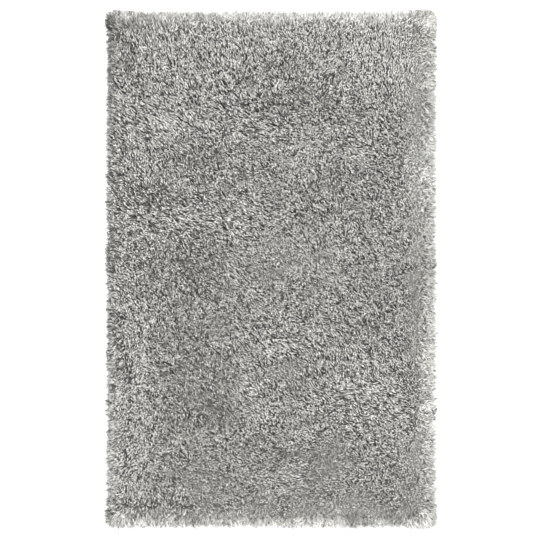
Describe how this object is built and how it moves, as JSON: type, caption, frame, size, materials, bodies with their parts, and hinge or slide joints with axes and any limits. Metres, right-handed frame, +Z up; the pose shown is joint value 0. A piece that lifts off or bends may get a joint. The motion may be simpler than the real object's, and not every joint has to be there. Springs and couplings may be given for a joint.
{
  "type": "shag rug",
  "caption": "Rectangular shag rug lying flat, with deep lumpy pile on a woven backing and yarn locks splayed out all round its rim.",
  "frame": {"origin": "on the floor under the rug's centre", "axes": "+Z up out of the pile, +Y along the rug's length towards the top of the picture, +X across its width to the right"},
  "size_m": [1.636, 2.55, 0.0504],
  "materials": {
    "canvas": "coarse woven backing cloth, matt",
    "yarn": "twisted pile yarn in light grey, matt with a faint sheen"
  },
  "bodies": {
    "root": {"backing": "canvas", "pile": "yarn"}
  },
  "joints": []
}
